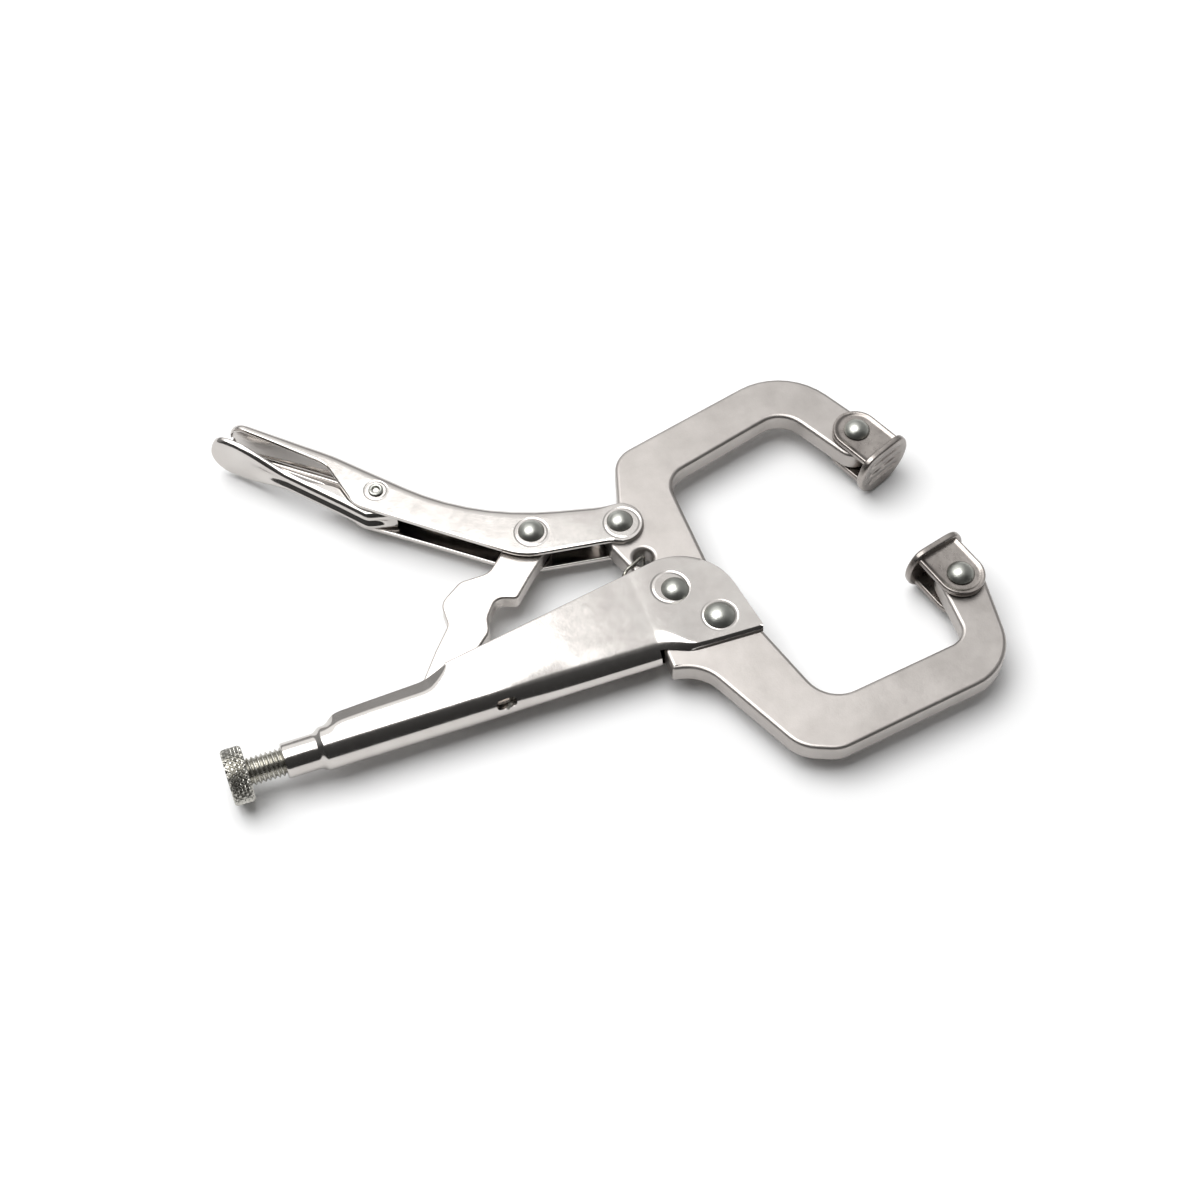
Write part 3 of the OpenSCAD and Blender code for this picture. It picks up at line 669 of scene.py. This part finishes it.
def rivet_profile(shank, head, dome, seat):
    """Dome, rim, shank, rim and dome, from the top pole to the bottom one. The dome is part of a ball."""
    ball = (head ** 2 + dome ** 2) / (2 * dome)
    swing = np.linspace(0, math.asin(min(head / ball, 1)), 14)
    upper = np.stack([ball * np.sin(swing), seat + dome - ball + ball * np.cos(swing)], -1)
    upper = np.concatenate([upper, [[head - 0.15, seat - 0.12], [shank, seat - 0.12]]])
    return np.concatenate([upper, upper[::-1] * [1, -1]])


for name, node, body, centre, shank, head, dome, seat in (
        ("jaw_pivot_rivet_set", "jaw_pivot_rivet", "root", jaw_pin, 2.2, 3.1, 1.75, cheek_half),
        ("fixed_jaw_rivet_set", "fixed_jaw_rivet", "root", fixed_rivet, 2.2, 3.4, 1.85, 3.9),
        ("lever_jaw_rivet_set", "lever_jaw_rivet", "lever", jaw_rivet, 2.2, 2.9, 1.7, 3.9),
        ("lever_link_rivet_set", "lever_link_rivet", "lever", link_rivet, 2.2, 2.9, 1.7, 3.9),
        ("upper_pad_rivet_set", "upper_pad_rivet", "upper_pad", upper_pin, 1.9, 2.9, 1.7, 4.5),
        ("lower_pad_rivet_set", "lower_pad_rivet", "lower_pad", lower_pin, 1.9, 3.0, 1.7, 4.5)):
    rivet = make_piece(name, [turned(centre, rivet_profile(shank, head, dome, seat))], headed)
    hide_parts(node)
    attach(rivet, body)

# The release lever's pin is a tube that is flared at both ends, so each end has a small hollow.
flare = np.array([[0, 4.1], [0.55, 4.15], [0.75, 4.75], [0.95, 4.98],
                  [1.25, 5.02], [1.5, 4.9], [1.65, 4.66], [1.2, 4.6]])
both_ends = np.concatenate([flare, flare[::-1] * [1, -1]])
pin = make_piece("release_lever_pin_set", [turned(release_pin, both_ends, 40)], headed)
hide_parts("release_lever_pin")
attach(pin, "lever")

# ---------------------------------------------------------------- Adjusting screw
# Turned from bar with a rolled 6 mm thread of 1 mm pitch, and a head with a diamond knurl of
# about 1.6 mm across. The tip is faced and chamfered where the link bears on it. Zinc plated.
# Zinc is yellower and duller than nickel, and the screw's threads catch small sharp lights in it.
zinc = plated_steel("zinc plate on the turned screw", "#C3C1BA", "#A5A39C", 0.26, 0.08, 0.3, 0.02)
head_front, head_back, screw_tip = -97.4, -101.8, -64.0
head_r, thread_r, pitch = 6.1, 3.0, 1.0


def tri(t):
    """A triangle wave between 0 and 1 with a period of 1."""
    return np.abs(2 * (t - np.floor(t)) - 1)


angle = np.linspace(0, 2 * math.pi, 289)[None]
along = np.linspace(0, 1, 37)[:, None]
width = head_front - head_back
teeth, knurl_mm = 24, 1.5
around, forward = teeth * angle / (2 * math.pi), along * width / knurl_mm
diamond = np.minimum(tri(around + forward), tri(around - forward))
fade = np.minimum(1, np.minimum(along, 1 - along) * width / 0.5)
knurl_r = head_r - 0.12 - 0.45 * (1 - fade) - 0.42 * (1 - np.minimum(1, 1.9 * diamond)) * fade
knurl_x = head_back + along * width + 0 * angle


def about_screw(x, r, angle):
    """Points around the screw's axis: x along it, r from it, angle from the y direction to z."""
    x, r, angle = np.broadcast_arrays(x, r, angle)
    return np.stack([x, screw_axis + r * np.cos(angle), r * np.sin(angle)], -1)


fraction = np.linspace(0, 1, 4)[:, None]
ends = [about_screw(head_back, fraction * knurl_r[0], angle),
        about_screw(head_front, fraction * knurl_r[-1], angle)]
rows = np.linspace(head_front - 0.1, screw_tip, 34 * 9)[:, None]
turn = np.linspace(0, 2 * math.pi, 49)[None]
ridge = tri(rows / pitch - turn / (2 * math.pi))
thread_depth, chamfer = 0.55, 0.9
crest = np.clip(1.35 * ridge - 0.12, 0, 1)
thread = thread_r - thread_depth * (1 - crest) - chamfer * smooth_step(rows, screw_tip - chamfer, screw_tip)
screw = make_piece("adjusting_screw_turned", [about_screw(knurl_x, knurl_r, angle), *ends], zinc, smooth=25)
shank = make_piece("adjusting_screw_thread", [
    about_screw(rows, thread, turn), about_screw(screw_tip, fraction * thread[-1], turn),
    about_screw(head_front - 0.1, fraction * thread[0], turn)], zinc, smooth=50)
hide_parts("adjusting_screw")
for piece in (screw, shank):
    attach(piece, "screw")

# ---------------------------------------------------------------- Tension spring
# Close-coiled 0.8 mm wire between the hole in the moving jaw and the slot in the handle's
# spine, with a bent hook at each end. It pulls the jaws open when the lever is let go. The coil
# begins well back from the jaw's hole, to leave room for the toggle link.
# Bare drawn wire: darker than the plated pieces, and shiny along its length.
spring_wire = plated_steel("bright drawn spring wire", "#9A9890", "#7E7C76", 0.25, 0.05, 0.3, 0.01)
hole = jaw_rivet + [1.9, -9.7]
slot = np.array([-42.6, -14.4, 1.8])
tail = np.array([slot[0], screw_axis - 1.6])
heading = (tail - hole) / np.linalg.norm(tail - hole)
coil_from, coil_to = hole + 18.5 * heading, tail - 3.4 * heading
wire_r, coil_r, coil_pitch = 0.4, 1.8, 0.85


def wire_through(points, reference, r=wire_r, sides=10):
    """A round wire along a line of points: each section stands square to the line, turned by reference."""
    ahead = np.gradient(points, axis=0)
    ahead = ahead / np.linalg.norm(ahead, axis=1)[:, None]
    side = np.cross(ahead, reference)
    side = side / np.linalg.norm(side, axis=1)[:, None]
    other = np.cross(ahead, side)
    angle = np.linspace(0, 2 * math.pi, sides + 1)[None, :, None]
    ring = points[:, None] + r * (np.cos(angle) * side[:, None] + np.sin(angle) * other[:, None])
    caps = [np.concatenate([np.repeat(points[i][None, None], sides + 1, 1), ring[i][None]]) for i in (0, -1)]
    return [ring, *caps]


def bent(corners, radius=1.0, steps=6):
    """A line in space whose inner corners are rounded by blending the two straight runs."""
    corners = np.asarray(corners, float)
    line = [corners[:1]]
    for before, here, after in zip(corners[:-2], corners[1:-1], corners[2:]):
        u, v = before - here, after - here
        r = min(radius, 0.45 * np.linalg.norm(u), 0.45 * np.linalg.norm(v))
        t = np.linspace(0, 1, steps)[:, None]
        a, b = here + u / np.linalg.norm(u) * r, here + v / np.linalg.norm(v) * r
        line.append((1 - t) ** 2 * a + 2 * t * (1 - t) * here + t ** 2 * b)
    return np.concatenate(line + [corners[-1:]])


def lift(p, z):
    """A plan point at a height from the middle plane."""
    return np.array([p[0], p[1], z])


turns = int(np.linalg.norm(coil_to - coil_from) / coil_pitch)
turn_steps = 16
t = np.linspace(0, 1, turns * turn_steps + 1)
spin = 2 * math.pi * turns * t
sideways = np.array([-heading[1], heading[0]])
upright = np.array([0, 0, 1.0])
radial = np.cos(spin)[:, None] * np.append(sideways, 0) + np.sin(spin)[:, None] * upright
coil = np.append(coil_from, 0) + t[:, None] * np.append(coil_to - coil_from, 0) + coil_r * radial
jaw_half, gap = 2.5, 0.1
hook_z = jaw_half + wire_r + gap
hook = bent([
    lift(hole, -2.2), lift(hole, hook_z), lift(hole + [-5.3, -2.6], hook_z),
    lift(hole + 8 * heading + 0.6 * sideways, 1.0),
    lift(coil_from - 1.2 * heading + 0.6 * sideways, 1.0), coil[0]], 1.2)
end = bent([coil[-1], lift(coil_to + 1.0 * heading, 0.8), slot + [1.0, 1.0, 0], slot + [-0.2, -0.2, 0]], 0.8)
hook_side, end_side = np.array([0.31, 0.85, 0.22]), np.array([0.1, -0.3, 1.0])
spring = make_piece("tension_spring_wire", [
    *wire_through(coil, radial), *wire_through(hook, hook_side), *wire_through(end, end_side)], spring_wire)
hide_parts("tension_spring")
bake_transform(spring)

# ---------------------------------------------------------------- Swivel pads
# Each pad is stamped from 1.6 mm sheet: a round gripping face with shallow pressed bars, and two
# ears folded back from it that a rivet holds loosely to the jaw's tip.
# Nickel that is worn by the work it grips: darker, uneven and scuffed dull.
pad_plate = plated_steel("worn nickel plate on the stamped pads", "#A9A39E", "#837D79",
                         0.30, 0.08, 0.4, 0.02, 3, 0.05)
pad_r, pad_t, pad_top, stand, ear_r, ear_out = 7.5, 1.6, 5.8, 9.1, 5.4, 4.5


def ear_patch(level, side, length):
    """A flat ear of sheet, level its outer height and side its sign: a half disc at the rivet and a straight
    run of the given length to the face. Its rim is rounded and its middle is dished around the rivet."""
    bow = np.linspace(0.02, math.pi / 2, 22)
    along = np.concatenate([-ear_r * np.cos(bow), np.linspace(0, length, 20)[1:]])
    wide = np.where(along < 0, np.sqrt(np.maximum(ear_r ** 2 - along ** 2, 0)), ear_r)
    spread = np.sin(np.linspace(-1, 1, 41) * math.pi / 2)
    edge = 0.4
    flat = np.maximum(wide - edge, 0.02)[:, None] * spread
    x = along[:, None] + 0 * flat
    from_round = ear_r - np.hypot(np.minimum(x, 0), flat) + 9 * (x > 0)
    inside = np.minimum(wide[:, None] - np.abs(flat), from_round)
    outer = level - 0.3 * smooth_step(inside, 0.55, 1.3)
    around = np.radians([30, 60, 90, 120, 150])[None]

    def rim(sign, angles):
        """The sheet's rounded edge: half an ellipse as deep as the sheet and one edge wide."""
        y = sign * (np.maximum(wide - edge, 0.02)[:, None] + np.minimum(edge, wide[:, None]) * np.sin(angles))
        z = level - pad_t / 2 + pad_t / 2 * np.cos(angles)
        return np.stack([along[:, None] + 0 * y, y, z + 0 * y], -1)

    top = np.stack([x, flat, outer], -1)
    under = np.stack([x, flat[:, ::-1], level - pad_t + 0 * x], -1)
    loop = np.concatenate([top, rim(1, around), under, rim(-1, around[:, ::-1]), top[:, :1]], 1)
    return loop * [1, 1, side]


def face_patch():
    """The round face about the forward axis: radius is a share of an outline that is a circle cut by two
    chords, and depth is the pressed bars, the rolled rim and the flat back, in that order outwards."""
    turn = np.linspace(0, 2 * math.pi, 145)[None]
    up, across = np.cos(turn), np.sin(turn)
    power = 14
    outline = ((1 / pad_r) ** power + np.maximum(up / pad_top, 0) ** power) ** (-1 / power)
    share = np.linspace(0, 1, 26)[:, None]
    y, z = share * (outline - 0.5) * across, share * (outline - 0.5) * up
    bars = np.exp(-(np.abs(y) / 4.4) ** 8) * sum(np.exp(-((z - at) / 0.6) ** 4) for at in (2.7, -0.2, -3.1))
    front = np.stack([stand - 0.15 * smooth_step(share * pad_r, 6.4, 4.6) - 0.4 * bars, y, z], -1)
    roll = np.radians(np.linspace(0, 90, 6))[:, None]
    inset, out = 0.5 * (1 - np.cos(roll)) + 0 * turn, outline - 0.5 + 0.5 * np.sin(roll)
    edge = np.stack([stand - inset, out * across, out * up], -1)
    rear = np.stack([stand - pad_t + inset, out * across, out * up], -1)[::-1]
    back = np.stack([stand - pad_t + 0 * y, y, z], -1)[::-1]
    return np.concatenate([front, edge[1:], rear, back[1:]])


def swivel_pad(name, node, body, pin, direction):
    """The pad drawn facing forward with its rivet at the origin, then turned to its direction in plan."""
    ears = [ear_patch(ear_out, side, stand - pad_t + 0.3) for side in (1, -1)]
    c, s = math.cos(math.radians(direction)), math.sin(math.radians(direction))
    swing = np.array([[c, s, 0], [-s, c, 0], [0, 0, 1]])
    patches = [patch @ swing + [*pin, 0] for patch in (face_patch(), *ears)]
    loops = [patch[k, :-1] for patch in patches[1:] for k in (0, -1)]
    piece = make_piece(name, patches, pad_plate, loops=loops, smooth=40)
    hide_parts(node)
    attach(piece, body)


swivel_pad("upper_pad_stamping", "upper_pad", "upper_pad", upper_pin, -67)
swivel_pad("lower_pad_stamping", "lower_pad", "lower_pad", lower_pin, 105)
